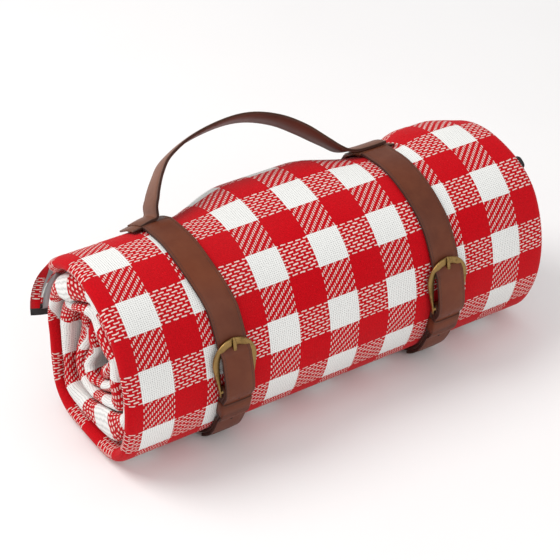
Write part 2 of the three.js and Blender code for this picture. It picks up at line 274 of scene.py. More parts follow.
def make_gingham():
    recipe = Recipe("gingham")
    across, along = recipe.surface()
    place = recipe.place()
    column = recipe.math("DIVIDE", recipe.math("SUBTRACT", across, CHECK_ACROSS_START), CHECK_ACROSS)
    row = recipe.math("DIVIDE", recipe.math("SUBTRACT", along, CHECK_ALONG_START), CHECK_ALONG)
    red_column = recipe.math("LESS_THAN", recipe.math("FLOORED_MODULO", column, 2.0), 1.0)
    red_row = recipe.math("LESS_THAN", recipe.math("FLOORED_MODULO", row, 2.0), 1.0)
    both = recipe.math("MULTIPLY", red_column, red_row)
    neither = recipe.math("SUBTRACT", 1.0, recipe.math("MAXIMUM", red_column, red_row))

    # White warps on red wefts: short upright floats in slanting rows.
    wobble = recipe.math("SUBTRACT", recipe.noise(place, 260.0, 2.0), 0.5)
    warp = recipe.math("MULTIPLY_ADD", column, WARPS, wobble)
    weft = recipe.math("MULTIPLY_ADD", row, WEFTS, wobble)
    warp_crown = roundness(recipe, warp, 0.31)
    white_warp = recipe.math("MULTIPLY", twill(recipe, recipe.math("MULTIPLY", warp, -1.0), weft), warp_crown)

    # White wefts on red warps: longer level floats, half a step on in each row.
    rib = recipe.math("MULTIPLY_ADD", row, RIBS, recipe.math("MULTIPLY", wobble, 0.7))
    rib_crown = roundness(recipe, rib, 0.26)
    half_steps = recipe.math("MULTIPLY", recipe.math("FLOOR", rib), 2.0)
    float_at = recipe.math("FLOORED_MODULO", recipe.math("ADD", warp, half_steps), 4.0)
    white_weft = recipe.math("MULTIPLY", recipe.math("LESS_THAN", float_at, 2.7), rib_crown)

    white = either(recipe, red_row, white_warp, white_weft)
    white = recipe.math("MULTIPLY", white, recipe.math("SUBTRACT", 1.0, both))
    white = recipe.math("MAXIMUM", white, neither)

    # Small pits where the yarns cross, greyed in the white checks as painted shade, and the ribs of the wefts in the
    # plain checks.
    pit_across = roundness(recipe, warp, 0.45)
    pit_along = roundness(recipe, weft, 0.45)
    woven = recipe.math("MAXIMUM", pit_across, pit_along)
    fluff = recipe.noise(place, 700.0, 2.0)
    tint = recipe.noise(place, 9.0, 2.0)
    red = recipe.colours(recipe.ramp(fluff, 0.3, 0.7), DEEP_RED_YARN, RED_YARN)
    mixed = recipe.math("SUBTRACT", 1.0, recipe.math("ADD", both, neither))
    # Painted shade: in the mixed checks the red between the white floats is darkened towards SHADOW_YARN, and the
    # warps' crowns are brought back to red.
    ground = recipe.colours(recipe.math("MULTIPLY", mixed, 0.35), red, SHADOW_YARN)
    # The grey in the hollows between the white yarns is painted shade.
    pit_shade = recipe.math("MULTIPLY", recipe.math("SUBTRACT", 1.0, woven), 0.9)
    white_with_pit_shade = recipe.colours(pit_shade, WHITE_YARN, srgb(120, 122, 122))
    pale = recipe.colours(mixed, white_with_pit_shade, CREAM_YARN)
    ground = recipe.colours(recipe.math("MULTIPLY", mixed, roundness(recipe, warp, 0.5)), ground, red)
    cloth = recipe.colours(white, ground, pale)
    cloth = recipe.colours(recipe.math("MULTIPLY", recipe.ramp(tint, 0.35, 0.7), 0.06), cloth, srgb(90, 70, 70))
    height = either(recipe, mixed, white, recipe.math("MULTIPLY", woven, 0.6))
    height = recipe.math("MULTIPLY_ADD", fluff, 0.35, height)
    return recipe.finish(
        Base_Color=cloth,
        Roughness=0.95,
        Sheen_Weight=0.06,
        Sheen_Roughness=0.4,
        Specular_IOR_Level=0.15,
        Normal=recipe.bump(height, 0.45 * MM, 0.8),
    )


gingham = make_gingham()
print("gingham checks", CHECK_ACROSS, "by", CHECK_ALONG, "m, of", WARPS, "by", WEFTS, "yarns")

# %% [markdown]
# The blanket's other side is a black waterproof film, and its raw edges are bound with black tape. Both
# are dark, so what shows is how they shine: the film in soft creases, the tape in fine ribs.

# %% Backing and tape
def make_dark(name, colour, roughness, rib):
    recipe = Recipe(name)
    place = recipe.place()
    creases = recipe.noise(place, 60.0, 5.0, 0.6)
    ribs = recipe.node("ShaderNodeTexWave", {"Vector": place, "Scale": rib, "Distortion": 1.5}).outputs[1]
    height = recipe.math("ADD", creases, recipe.math("MULTIPLY", ribs, 0.3))
    low, high = colour
    return recipe.finish(
        Base_Color=recipe.colours(creases, low, high),
        Roughness=roughness,
        Normal=recipe.bump(height, 0.6 * MM, 0.5),
    )


film = make_dark("waterproof film", (srgb(12, 12, 13), srgb(34, 33, 34)), 0.5, 40.0)
tape = make_dark("binding tape and hole shade", (srgb(10, 10, 10), srgb(40, 38, 38)), 0.85, 350.0)
pocket_grey = make_dark("pocket grey", (srgb(150, 146, 148), srgb(188, 184, 186)), 0.85, 300.0)
print("plain finishes", film.name, tape.name, pocket_grey.name)

# %% [markdown]
# Bridle leather is smooth and a little waxy. Its colour is cloudy over a few centimetres, its grain is
# fine pores, its cut edges are burnished dark and its high places are rubbed paler. The piece's UV map
# runs across and along the strap in metres, so the dark edges follow the strap wherever it bends.

# %% Leather
SEAM_IN = 2.4 * MM


def make_leather(name, deep, mid, rubbed, roughness, edge_at):
    recipe = Recipe(name)
    across = recipe.surface()[0]
    place = recipe.place()
    clouds = recipe.noise(place, 16.0, 3.0, 0.5)
    pores = recipe.node("ShaderNodeTexVoronoi", {"Vector": place, "Scale": 900.0}).outputs[0]
    wrinkles = recipe.noise(place, 380.0, 4.0, 0.6)
    rubs = recipe.noise(place, 70.0, 4.0, 0.6)
    body = recipe.colours(recipe.ramp(clouds, 0.3, 0.72), deep, mid)
    worn = recipe.math("MULTIPLY", recipe.ramp(rubs, 0.4, 0.85), 0.3)
    body = recipe.colours(worn, body, rubbed)
    edge = recipe.ramp(recipe.math("ABSOLUTE", across), edge_at - 1.3 * MM, edge_at)
    edged = recipe.colours(recipe.math("MULTIPLY", edge, 0.85), body, srgb(44, 24, 17))
    seam_side = recipe.math("ABSOLUTE", recipe.math("SUBTRACT", recipe.math("ABSOLUTE", across), edge_at - SEAM_IN))
    seam = recipe.math("MULTIPLY", recipe.ramp(seam_side, 0.55 * MM, 0.15 * MM), 0.5)
    edged = recipe.colours(seam, edged, srgb(44, 24, 17))
    height = recipe.math(
        "ADD",
        recipe.math("MULTIPLY", recipe.ramp(pores, 0.0, 0.5), 0.35),
        recipe.math("MULTIPLY", wrinkles, 0.65),
    )
    return recipe.finish(
        Base_Color=edged,
        Roughness=recipe.math("ADD", roughness, recipe.math("MULTIPLY", wrinkles, 0.16)),
        Specular_IOR_Level=0.3,
        Coat_Weight=0.04,
        Coat_Roughness=0.4,
        Normal=recipe.bump(height, 0.12 * MM, 0.4),
    )


LEATHER_DEEP = srgb(84, 35, 12)
LEATHER_MID = srgb(104, 46, 18)
LEATHER_RUBBED = srgb(130, 72, 42)
strap_leather = make_leather("strap leather", LEATHER_DEEP, LEATHER_MID, LEATHER_RUBBED, 0.42, 14.0 * MM)
handle_leather = make_leather(
    "handle leather", srgb(98, 54, 34), srgb(126, 76, 52), srgb(156, 110, 86), 0.42, 13.5 * MM
)
lining_leather = make_leather("lining leather", srgb(70, 32, 22), srgb(96, 48, 34), srgb(120, 66, 48), 0.5, 13.9 * MM)
print("leathers", strap_leather.name, handle_leather.name, lining_leather.name)

# %% [markdown]
# The thread is waxed and close to the leather's colour. The brass is antiqued: a dark patina is left
# in the hollows and rubbed off the faces, so its colour and its roughness change over a few
# millimetres.

# %% Thread and brass
def make_thread():
    recipe = Recipe("waxed thread")
    place = recipe.place()
    twist = recipe.node("ShaderNodeTexWave", {"Vector": place, "Scale": 900.0, "Distortion": 2.0}).outputs[1]
    return recipe.finish(
        Base_Color=recipe.colours(twist, srgb(70, 38, 26), srgb(112, 70, 48)),
        Roughness=0.6,
        Normal=recipe.bump(twist, 0.1 * MM, 0.5),
    )


def make_brass():
    recipe = Recipe("antique brass")
    place = recipe.place()
    patina = recipe.noise(place, 240.0, 5.0, 0.65)
    patches = recipe.noise(place, 70.0, 3.0, 0.5)
    dark = recipe.ramp(recipe.math("ADD", patina, recipe.math("MULTIPLY", patches, 0.6)), 0.8, 1.25)
    return recipe.finish(
        Base_Color=recipe.colours(dark, srgb(150, 121, 74), srgb(84, 64, 36)),
        Metallic=1.0,
        Roughness=recipe.ramp(dark, -1.0, 1.6),
        Normal=recipe.bump(patina, 0.12 * MM, 0.4),
    )


thread = make_thread()
brass = make_brass()
print("small finishes", thread.name, "and", brass.name)

# %% [markdown]
# Every new piece goes through one helper, which makes the object, gives it its materials, shades it
# and says which body it rides on and which CAD nodes it stands for.

# %% Finishing a piece
def new_piece(name, mesh, materials, body=None, instead=()):
    data = bpy.data.meshes.new(name)
    mesh.to_mesh(data)
    mesh.free()
    for material in materials:
        data.materials.append(material)
    for face in data.polygons:
        face.use_smooth = True
    piece = bpy.data.objects.new(name, data)
    bpy.context.scene.collection.objects.link(piece)
    if body:
        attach(piece, body)
    if instead:
        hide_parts(*instead)
    print(name, len(data.polygons), "faces")
    return piece


# %% [markdown]
# The blanket is one sheet. Its width is folded in four first, like a letter: the outer ply, a broad
# fold at the right end, and two plies tucked inside, so that the film is hidden and both faces of the
# pack are gingham. The pack is then wound up. A cloth solver would have to be led through all of that,
# so the sheet is laid along its folds directly: a flat grid whose columns follow the fold and whose
# rows follow the winding.

# %% The winding
TURN_PITCH = 14.4 * MM
TURNS = 4.8
TURN_SHARE = 0.84
EDGE_ALONG = 420 * MM
PLY_DEPTHS = (1.6 * MM, 5.2 * MM, 9.4 * MM, 12.8 * MM)
CLOTH_THICKNESS = 2.6 * MM
ROLL_MIDDLE = Vector((0, ROLL_MIDDLE_Y, ROLL_FLOOR + ROLL_HEIGHT / 2))
ROLL_SIZE = min(ROLL_WIDTH, ROLL_HEIGHT) / 2
STRAP_AT = {side: sum(corner[0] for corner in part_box("strap_" + side)) / 2 for side in ("left", "right")}


def winding_depth(turned):
    turn = math.floor(turned)
    return TURN_PITCH * (turn + smooth(TURN_SHARE, 1, turned - turn))


def wound(turned, inset):
    place, heading = section_at(EDGE_ALONG - turned * PERIMETER)
    scale = 1 - (inset + winding_depth(turned)) / ROLL_SIZE
    return (place - ROLL_MIDDLE) * scale + ROLL_MIDDLE, outward(heading)


def winding_stations(step):
    """Places along the winding, a step apart, and how much cloth lies between the start and each."""
    stations = [(0.0, EDGE_ALONG)]
    turned, laid = 0.0, EDGE_ALONG
    while turned < TURNS:
        scale = 1 - winding_depth(turned) / ROLL_SIZE
        turned = min(turned + step / (PERIMETER * scale), TURNS)
        laid -= step
        stations.append((turned, laid))
    return stations


# %% [markdown]
# The fold path is drawn once for each row of the grid, because the folds aren't the same all the way
# along: at the left end the inner turns sit further in and their rounded edges swell and sink a little.

# %% The fold path
OUTER_STEPS = 72
FOLD_STEPS = 12
HIDDEN_STEPS = 9


def bend(centre_x, centre_depth, reach, half_depth, from_angle, to_angle, puff=0.0):
    """A rounded fold; puff swells its two sides, as wadding does."""
    points = []
    for step in range(1, FOLD_STEPS):
        angle = math.radians(mix(from_angle, to_angle, step / FOLD_STEPS))
        swollen = half_depth + puff * abs(math.cos(angle)) ** 0.7
        points.append((centre_x + reach * math.cos(angle), centre_depth + swollen * math.sin(angle)))
    return points


def straight(from_x, to_x, depth, steps):
    return [(mix(from_x, to_x, step / steps), depth) for step in range(steps + 1)]


def fold_path(left, right, puff, pocket):
    """(x, depth) from the inner ply's bound left edge to the tucked ply's edge."""
    outer, second, third, inner = PLY_DEPTHS
    reach = 7.0 * MM
    small = 2.5 * MM
    path = straight(left + 17 * MM, right - reach, inner, HIDDEN_STEPS)
    path += bend(right - reach, (outer + inner) / 2, reach, (inner - outer) / 2, 90, -90)
    path += straight(right - reach, left + reach, outer, OUTER_STEPS)
    turned_in = mix(-reach, 3.5 * reach, pocket)
    path += bend(left + reach, (outer + third) / 2, turned_in, (third - outer) / 2, -90, 90, puff * (1 - pocket))
    path += straight(left + reach, right - 2 * reach, third, HIDDEN_STEPS)
    path += bend(right - 2 * reach, (second + third) / 2, small, (third - second) / 2, 90, -90)
    path += straight(right - 2 * reach, left + reach + 30 * MM * pocket, second, HIDDEN_STEPS)
    return path


OUTER_START = HIDDEN_STEPS + FOLD_STEPS
OUTER_END = OUTER_START + OUTER_STEPS


# %% [markdown]
# Three things make the end look wound by hand: a crumple that pushes the inner turns about, the same
# for all plies so that none cut through another; a slow waviness of the edges; and the blanket's outer
# corner, which lifts off the back of the roll.

# %% Crumple, waviness and the lifted corner
CRUMPLE_REACH = 60 * MM
CRUMPLE_SIZE = 10.0 * MM
CORNER_LIFT = 17 * MM
CORNER_INNER_LIFT = 3 * MM
MIDDLE_SWELL = 15.5 * MM
BEYOND_SWELL = 12 * MM
RIGHT_SWELL = 5.5 * MM
CORNER_SPREAD = 7 * MM
CORNER_WIDTH = 48 * MM
CORNER_TURN = 0.17
TUCKED_SHORT = 0.035
# Where the inner turns are pushed, how far round it reaches and which way, all seen from the left end.
DENTS = (
    (Vector((0, -22, 34)), 15, Vector((0, 9, -12))),
    (Vector((0, -34, -46)), 24, Vector((0, 6, 14))),
    (Vector((0, 34, 62)), 20, Vector((0, -4, -13))),
    (Vector((0, 2, -18)), 13, Vector((0, 2, -7))),
)


def crumple(point, depth):
    end = smooth(CRUMPLE_REACH, 4 * MM, point.x + ROLL_HALF)
    inner = smooth(TURN_PITCH * 0.95, TURN_PITCH * 1.8, depth)
    if end * inner == 0:
        return point
    push = noise.noise_vector(Vector((3.1, point.y * 26, point.z * 26))) * CRUMPLE_SIZE
    push.x = 0
    for centre, spread, shove in DENTS:
        away = point - ROLL_MIDDLE - centre * MM
        away.x = 0
        push += shove * MM * math.exp(-away.length_squared / (2 * (spread * MM) ** 2))
    return point + push * end * inner


def swelling(across, turned):
    """Between and beyond the straps the roll's upper back swells, as the straps pull it in."""
    along = EDGE_ALONG - turned * PERIMETER
    over_back = smooth(250 * MM, 345 * MM, along) * smooth(500 * MM, 390 * MM, along)
    middle = smooth(STRAP_AT["left"] + 12 * MM, STRAP_AT["left"] + 76 * MM, across)
    middle *= smooth(STRAP_AT["right"] - 12 * MM, STRAP_AT["right"] - 76 * MM, across)
    beyond = smooth(STRAP_AT["right"] + 12 * MM, STRAP_AT["right"] + 44 * MM, across)
    beyond *= smooth(ROLL_HALF + 6 * MM, ROLL_HALF - 40 * MM, across)
    return (MIDDLE_SWELL * middle + BEYOND_SWELL * beyond) * over_back * smooth(1.3, 0.9, turned)


def tuck(turned, inset):
    """The inner plies end a little before the outer one, so their edges don't show."""
    return turned + TUCKED_SHORT * smooth(PLY_DEPTHS[0], PLY_DEPTHS[2], inset) * smooth(CORNER_TURN, 0.0, turned)


def lift_corner(point, out, turned, inset):
    near_edge = smooth(CORNER_TURN, 0.0, turned)
    near_end = smooth(CORNER_WIDTH, 0.0, point.x + ROLL_HALF)
    share = near_edge * near_end
    lift = mix(CORNER_LIFT, CORNER_INNER_LIFT, smooth(PLY_DEPTHS[0], PLY_DEPTHS[2], inset))
    return point + out * lift * share + Vector((-CORNER_SPREAD * share, 0, 0))


def ends_of(turned, depth):
    inner = smooth(TURN_PITCH * 0.8, TURN_PITCH * 4, depth)
    first = smooth(TURN_PITCH * 0.2, TURN_PITCH * 1.2, depth)
    wave = noise.noise(Vector((turned * 5.3, 1.7, 0.4)))
    ripple = noise.noise(Vector((turned * 16.0, 7.7, 2.4)))
    left = -ROLL_HALF + 1.4 * MM + (6 * wave + 3 * ripple + 5) * MM * first + 13 * MM * inner
    right = ROLL_HALF - 1.4 * MM - (3 * wave + 3) * MM * first - 6 * MM * inner
    right += RIGHT_SWELL * smooth(0.28, 0.42, turned) * smooth(0.8, 0.64, turned)
    puff = (2.6 + 1.6 * ripple + 0.8 * wave) * MM * first
    pocket = smooth(CORNER_TURN, CORNER_TURN * 0.45, turned)
    return left, right, puff, pocket


# %% The blanket
CLOTH_STEP = 6.6 * MM
BOUND_ROWS = 1
INNER_ASKEW = 30 * MM
POCKET_ROWS = 11
SLIP_LEFT = Vector((-1.7 * MM, -0.7 * MM))
SLIP_RIGHT = Vector((-5.7 * MM, 4.3 * MM))
STRAP_HALF = 14 * MM


def slip(across):
    """How far the checks have slipped under the straps, which pull the cloth a little."""
    left = smooth(STRAP_HALF, -STRAP_HALF, across - STRAP_AT["left"])
    right = smooth(-STRAP_HALF, STRAP_HALF, across - STRAP_AT["right"])
    return SLIP_LEFT * left + SLIP_RIGHT * right


def make_blanket():
    stations = winding_stations(CLOTH_STEP)
    rows = len(stations)
    columns = len(fold_path(-1, 1, 0, 0))
    mesh = bmesh.new()
    bmesh.ops.create_grid(mesh, x_segments=columns - 1, y_segments=rows - 1, size=1)
    grid = {}
    for vert in mesh.verts:
        column = round((vert.co.x + 1) / 2 * (columns - 1))
        row = round((vert.co.y + 1) / 2 * (rows - 1))
        grid[vert] = (column, row)
    surface = {}
    for row, (turned, laid) in enumerate(stations):
        depth_here = winding_depth(turned)
        left, right, puff, pocket = ends_of(turned, depth_here)
        path = fold_path(left, right, puff, pocket)
        askew = INNER_ASKEW * smooth(0.95, 1.15, turned)
        lengths = [0.0]
        for before, after in zip(path, path[1:]):
            lengths.append(lengths[-1] + math.hypot(after[0] - before[0], after[1] - before[1]))
        start = path[OUTER_START][0] + lengths[OUTER_START]
        for column, (across, inset) in enumerate(path):
            point, out = wound(tuck(turned, inset), inset)
            point.x = across
            point += out * swelling(across, turned)
            point = crumple(point, depth_here + inset)
            point = lift_corner(point, out, turned, inset)
            moved = slip(across)
            surface[column, row] = (point, (start - lengths[column] - moved.x - askew, laid - moved.y))
    for vert, key in grid.items():
        vert.co = surface[key][0]
    layer = mesh.loops.layers.uv.new("UVMap")
    for face in mesh.faces:
        for loop in face.loops:
            loop[layer].uv = surface[grid[loop.vert]][1]
    mesh.normal_update()
    middle = (OUTER_START + OUTER_STEPS // 2, rows // 8)
    sample = next(vert for vert, key in grid.items() if key == middle)
    if sample.normal.dot(sample.co - ROLL_MIDDLE) < 0:
        bmesh.ops.reverse_faces(mesh, faces=mesh.faces[:])
    return mesh, grid, rows, columns


blanket_mesh, blanket_grid, blanket_rows, blanket_columns = make_blanket()
for face in blanket_mesh.faces:
    row = max(blanket_grid[vert][1] for vert in face.verts)
    column = min(blanket_grid[vert][0] for vert in face.verts)
    if row <= BOUND_ROWS or column == 0:
        face.material_index = 2
    # The inside of the lifted corner's pocket is given a pale grey finish.
    elif row <= POCKET_ROWS and OUTER_END < column < OUTER_END + FOLD_STEPS:
        face.material_index = 3
blanket = new_piece(
    "blanket",
    blanket_mesh,
    (gingham, film, tape, pocket_grey),
    "blanket",
    ("blanket_cloth", "blanket_wadding", "blanket_backing", "blanket_inner_fold", "blanket_binding"),
)
body = blanket.modifiers.new("thickness", "SOLIDIFY")
body.thickness = CLOTH_THICKNESS
body.offset = 0
body.material_offset = 1
body.material_offset_rim = 2
print("blanket grid", blanket_columns, "by", blanket_rows)

# %% [markdown]
# A small loop of the binding tape is sewn into the right end. Only its fold shows, past the cloth's edge.

# %% The tape loop
LOOP_AT = 227 * MM
LOOP_HALF = 6.5 * MM
LOOP_OUT = 5 * MM


def make_tape_loop():
    mesh = bmesh.new()
    layer = mesh.loops.layers.uv.new("UVMap")
    bmesh.ops.create_cube(mesh, size=1)
    bmesh.ops.bevel(
        mesh, geom=mesh.edges[:], offset=0.35, offset_type="OFFSET", affect="EDGES", segments=4, profile=0.5,
        material=-1,
    )
    for vert in mesh.verts:
        vert.co = on_roll(
            ROLL_HALF + vert.co.x * 2 * LOOP_OUT, LOOP_AT + vert.co.y * 2 * LOOP_HALF, vert.co.z * 3 * MM - 4 * MM
        )
    for face in mesh.faces:
        for loop in face.loops:
            loop[layer].uv = (loop.vert.co.x, loop.vert.co.y)
    return new_piece("tape_loop", mesh, (tape,), "blanket")


make_tape_loop()

# %% [markdown]
# Straps, linings, loops and the handle are all the same thing: a flat strip pushed along a path. So one
# helper draws the strip's outline as a few vertices and extrudes it from place to place. Its UV map
# gives the distance across and the distance along, in metres.

# %% A strip along a path
def strip(outline, places, closed_ends=True):
    """outline is (across, height) points in order; places are 4x4 matrices: x across, z height."""
    mesh = bmesh.new()
    layer = mesh.loops.layers.uv.new("UVMap")
    ring = [mesh.verts.new(places[0] @ Vector((across, 0, height))) for across, height in outline]
    edges = [mesh.edges.new((ring[i - 1], ring[i])) for i in range(len(ring))]
    spots = {vert: (outline[i][0], 0.0) for i, vert in enumerate(ring)}
    first_ring = ring
    travelled = 0.0
    for before, place in zip(places, places[1:]):
        travelled += (place.translation - before.translation).length
        made = bmesh.ops.extrude_edge_only(mesh, edges=edges)["geom"]
        fresh = [item for item in made if isinstance(item, bmesh.types.BMVert)]
        edges = [
            item for item in made
            if isinstance(item, bmesh.types.BMEdge) and all(vert in fresh for vert in item.verts)
        ]
        following = {}
        for vert in fresh:
            for edge in vert.link_edges:
                other = edge.other_vert(vert)
                if other in spots and other not in fresh:
                    following[other] = vert
        ring = [following[vert] for vert in ring]
        for (across, height), vert in zip(outline, ring):
            vert.co = place @ Vector((across, 0, height))
            spots[vert] = (across, travelled)
    if closed_ends:
        mesh.faces.new(first_ring)
        mesh.faces.new(ring)
    bmesh.ops.recalc_face_normals(mesh, faces=mesh.faces[:])
    for face in mesh.faces:
        for loop in face.loops:
            loop[layer].uv = spots[loop.vert]
    return mesh


def strap_outline(half, low, high, crown, groove_at=2.4 * MM, groove=0.14 * MM):
    """A strip's section: rounded edges, a sewn groove by each edge and a slightly raised middle."""
    edge = 0.35 * MM
    top = [
        (half, (low + high) / 2),
        (half - edge * 0.3, high - edge * 0.7),
        (half - edge, high - edge * 0.2),
        (half - groove_at + 0.9 * MM, high),
        (half - groove_at, high - groove),
        (half - groove_at - 0.9 * MM, high + crown * 0.3),
        (half * 0.5, high + crown * 0.8),
        (0, high + crown),
    ]
    top += [(-across, height) for across, height in reversed(top[:-1])]
    return top + [(-half + edge, low), (0, low), (half - edge, low)]


def frames_along(points, side):
    """Matrices along a path in the roll's cross plane; side says which way its height points."""
    frames = []
    for index, point in enumerate(points):
        before = points[max(index - 1, 0)]
        after = points[min(index + 1, len(points) - 1)]
        ahead = (after - before).normalized()
        across = Vector((1, 0, 0))
        height = across.cross(ahead) * side
        frame_at = Matrix((across, ahead, height)).transposed().to_4x4()
        frames.append(Matrix.Translation(point) @ frame_at)
    return frames


# %% [markdown]
# Each strap starts as a tail turned back under itself, goes round the buckle's bar, under the roll, up
# the back, over the top, down the front through the buckle and the keeper, and ends in a free tongue.

# %% The strap's path
OUTER_PLY = 1.5 * MM
LINING_PLY = 1.0 * MM
PLY_GAP = 0.1 * MM
GAP = 0.3 * MM
PLY_STACK = OUTER_PLY + PLY_GAP + LINING_PLY
STAND_HEIGHT = GAP + PLY_STACK
BAR_ALONG = 126 * MM
WRAP_RADIUS = 2.0 * MM
BAR_HEIGHT = GAP + PLY_STACK + WRAP_RADIUS
CHAPE_LENGTH = 30 * MM
LOOP_LIFT = 1.7 * MM
HANDLE_ALONG = 310 * MM
HANDLE_HALF = 13.5 * MM
KEEPER_ALONG = BAR_ALONG - 20 * MM
KEEPER_WIDTH = 15 * MM
STRAP_END_ALONG = BAR_ALONG - 78 * MM
STRAP_END_LIFT = 0.3 * MM
DIVE_START = 30 * MM
DIVE_END = 41 * MM
TUCKED_HEIGHT = 1.6 * MM
RISE_END = 62 * MM
PATH_STEP = 2.5 * MM
STRAP_DRIFT = {"left": -8 * MM, "right": -4 * MM}


def base_height(along):
    return GAP + LOOP_LIFT * (1 - smooth(HANDLE_HALF + 2 * MM, HANDLE_HALF + 14 * MM, abs(along - HANDLE_ALONG)))


def chape_height(along):
    over_tail = smooth(BAR_ALONG - CHAPE_LENGTH - 8 * MM, BAR_ALONG - CHAPE_LENGTH, along)
    over_bar = smooth(BAR_ALONG - 12 * MM, BAR_ALONG - 1 * MM, along)
    laid = mix(GAP, STAND_HEIGHT + PLY_GAP, over_tail)
    return mix(laid, BAR_HEIGHT + WRAP_RADIUS, over_bar)


def free_height(along):
    carried = chape_height(min(along, BAR_ALONG)) + PLY_STACK + GAP
    over_prong = carried - 2.6 * MM * smooth(BAR_ALONG, BAR_ALONG + DIVE_START, along)
    dive = smooth(BAR_ALONG + DIVE_START, BAR_ALONG + DIVE_END, along)
    settle = smooth(BAR_ALONG + DIVE_END, BAR_ALONG + RISE_END, along)
    lift = 1 - smooth(STRAP_END_ALONG, KEEPER_ALONG - KEEPER_WIDTH, along)
    tucked = mix(TUCKED_HEIGHT, GAP, settle)
    return mix(over_prong, tucked, dive) + STRAP_END_LIFT * lift


def strap_path():
    points = []
    along = BAR_ALONG - CHAPE_LENGTH
    while along < BAR_ALONG:
        points.append(on_roll(0, along, BAR_HEIGHT - WRAP_RADIUS))
        along += PATH_STEP
    heading = section_at(BAR_ALONG)[1]
    centre = on_roll(0, BAR_ALONG, BAR_HEIGHT)
    for step in range(13):
        angle = math.pi * (step / 12 - 0.5)
        turn = forward(heading) * math.cos(angle) + outward(heading) * math.sin(angle)
        points.append(centre + turn * WRAP_RADIUS)
    along = BAR_ALONG - 1.5 * MM
    while along > BAR_ALONG - CHAPE_LENGTH - 12 * MM:
        points.append(on_roll(0, along, chape_height(along)))
        along -= PATH_STEP
    over_top = BAR_ALONG + RISE_END - PERIMETER
    while along > over_top:
        points.append(on_roll(0, along, base_height(along + PERIMETER)))
        along -= 2 * PATH_STEP
    along = BAR_ALONG + RISE_END - PATH_STEP
    while along > STRAP_END_ALONG:
        points.append(on_roll(0, along, free_height(along)))
        along -= PATH_STEP / 2
    points.append(on_roll(0, STRAP_END_ALONG, free_height(STRAP_END_ALONG)))
    return points


def drift(side, height):
    """The straps lean a little to the left over the top of the roll."""
    return STRAP_DRIFT[side] * smooth(135 * MM, 178 * MM, height)


def strap_places(side):
    places = []
    for frame_at in STRAP_FRAMES:
        across = STRAP_AT[side] + drift(side, frame_at.translation.z)
        places.append(Matrix.Translation(Vector((across, 0, 0))) @ frame_at)
    return places


STRAP_FRAMES = frames_along(strap_path(), -1)


def make_strap(side):
    places = strap_places(side)
    lining = strip(strap_outline(STRAP_HALF - 0.2 * MM, 0.0, LINING_PLY, 0.0, groove=0.0), places)
    new_piece("strap_lining_piece_" + side, lining, (lining_leather,), "carrier", ("strap_lining_" + side,))
    outer = strip(strap_outline(STRAP_HALF, LINING_PLY + PLY_GAP, PLY_STACK, 0.3 * MM), places)
    return new_piece("strap_piece_" + side, outer, (strap_leather,), "carrier", ("strap_" + side,))


straps = {side: make_strap(side) for side in ("left", "right")}

# %% [markdown]
# Stitches are what tells sewn leather from moulded plastic. One stitch is a tiny capsule of a few
# faces, copied along the groove near each edge.

# %% Stitches
STITCH_PITCH = 3.6 * MM
STITCH_LENGTH = 2.5 * MM
STITCH_RADIUS = 0.36 * MM


def add_stitch(mesh, place):
    made = bmesh.ops.create_cone(
        mesh, cap_ends=True, segments=6, radius1=STITCH_RADIUS, radius2=STITCH_RADIUS, depth=STITCH_LENGTH,
        matrix=place @ Matrix.Rotation(math.radians(90), 4, "X"),
    )
    for vert in made["verts"]:
        local = place.inverted() @ vert.co
        if abs(local.y) > STITCH_LENGTH * 0.4:
            vert.co = place @ Vector((local.x * 0.5, local.y, local.z * 0.5 - STITCH_RADIUS * 0.7))


def stitch_row(mesh, frames, across, height, first=0.0, last=None):
    """Stitches every pitch along a path, at one distance across it and one height above it."""
    spots = [frame_at @ Vector((across, 0, height)) for frame_at in frames]
    lengths = [0.0]
    for before, after in zip(spots, spots[1:]):
        lengths.append(lengths[-1] + (after - before).length)
    last = lengths[-1] if last is None else last
    wanted, index, count = first, 0, 0
    while wanted < last:
        while index < len(lengths) - 2 and lengths[index + 1] < wanted:
            index += 1
        share = (wanted - lengths[index]) / max(lengths[index + 1] - lengths[index], 1e-9)
        place = frames[index].copy()
        place.translation = spots[index].lerp(spots[index + 1], share)
        add_stitch(mesh, place)
        wanted += STITCH_PITCH
        count += 1
    return count


for side in ("left", "right"):
    mesh = bmesh.new()
    places = strap_places(side)
    rows_at = STRAP_HALF - 2.4 * MM
    made = sum(stitch_row(mesh, places, edge * rows_at, PLY_STACK, 80 * MM) for edge in (-1, 1))
    new_piece("strap_stitches_" + side, mesh, (thread,), "carrier")
    print(made, "stitches on the", side, "strap")

# %% [markdown]
# The tongue has a row of punched holes. Two show below the buckle: one above the keeper, one under it.
# Each is a small black cup set into the leather, painted shade for the inside of the hole.

# %% Punched holes
HOLE_RADIUS = 1.1 * MM
HOLES_ALONG = (118 * MM, 87 * MM)


def make_holes(side):
    mesh = bmesh.new()
    for along in HOLES_ALONG:
        heading = section_at(along)[1]
        up = outward(heading)
        turn = Matrix((Vector((1, 0, 0)), forward(heading), up)).transposed().to_4x4()
        top = on_roll(STRAP_AT[side], along, free_height(along) + PLY_STACK + 0.2 * MM)
        bmesh.ops.create_cone(
            mesh, cap_ends=True, segments=16, radius1=HOLE_RADIUS, radius2=HOLE_RADIUS, depth=0.5 * MM,
            matrix=Matrix.Translation(top) @ turn,
        )
    # The black cups, in the tape's finish, are painted shade inside the holes.
    return new_piece("strap_hole_shade_" + side, mesh, (tape,), "carrier")


for side in ("left", "right"):
    make_holes(side)

# %% [markdown]
# The buckle is a horseshoe of flat brass bar. Its outline is pushed along a round toe and two limbs that
# draw in towards the heel, with the section scaled at each place, so that the limbs taper. A shallow
# notch in the middle of the toe takes the prong's tip.

